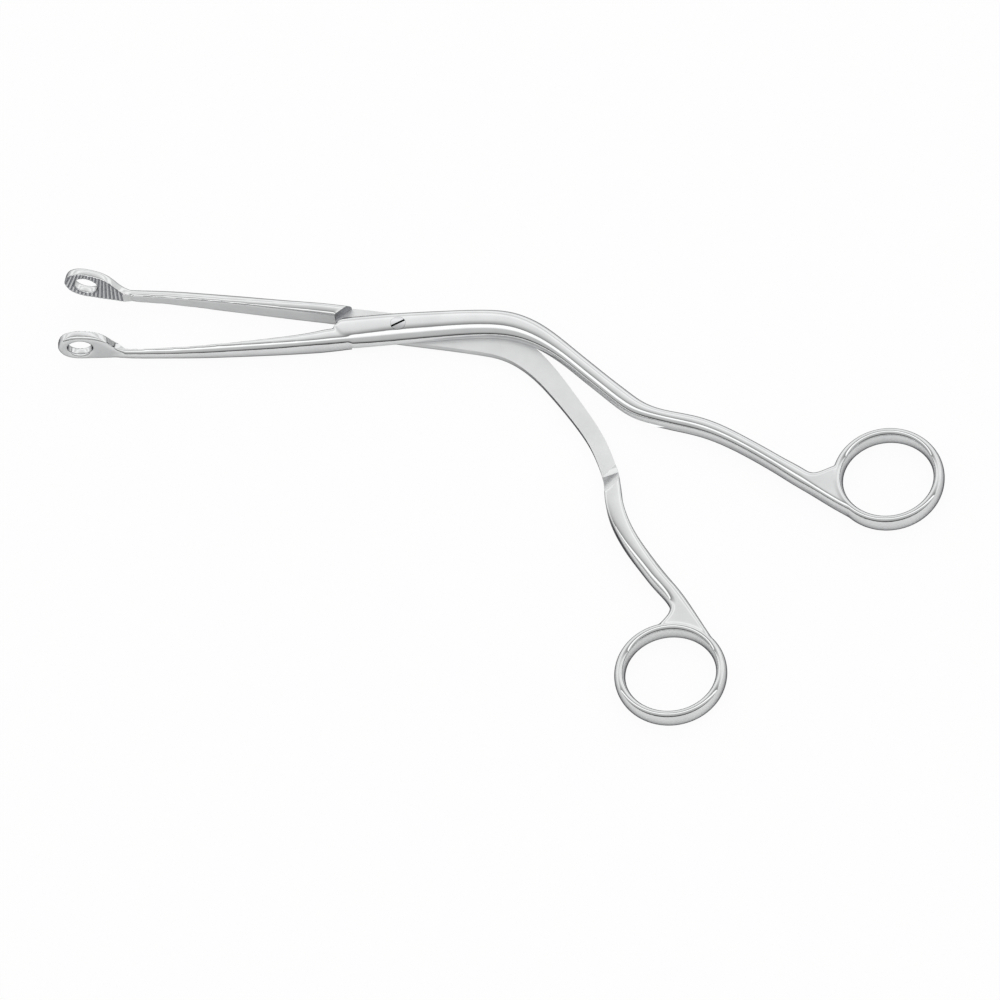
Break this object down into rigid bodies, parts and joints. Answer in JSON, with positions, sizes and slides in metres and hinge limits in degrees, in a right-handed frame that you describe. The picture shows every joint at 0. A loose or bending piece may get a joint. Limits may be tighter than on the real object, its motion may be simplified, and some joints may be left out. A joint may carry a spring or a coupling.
{
  "type": "magill forceps",
  "caption": "Polished steel forceps with curved handles, a screw lap joint and egg-shaped jaws with windows and cross ridges; finger rings drop to one side of the long arms.",
  "frame": {"origin": "where the axis of the joint screw meets the flat back of the lock", "axes": "+Z along the screw towards its slotted head, -X towards the jaws along the line that halves the angle between the arms, finger rings towards +X and -Y"},
  "size_m": [0.2433, 0.1302, 0.0126],
  "materials": {
    "polished_steel": "mirror-polished stainless steel",
    "screw_steel": "ground and polished stainless steel"
  },
  "bodies": {
    "back": {"back_half": "polished_steel", "joint_screw": "screw_steel"},
    "front": {"front_half": "polished_steel"}
  },
  "joints": [
    {"name": "lock_hinge", "type": "hinge", "parent": "back", "child": "front", "pos_m": [0, 0, 0], "axis": [0, 0, 1], "range_deg": [-11.4, 30]}
  ]
}
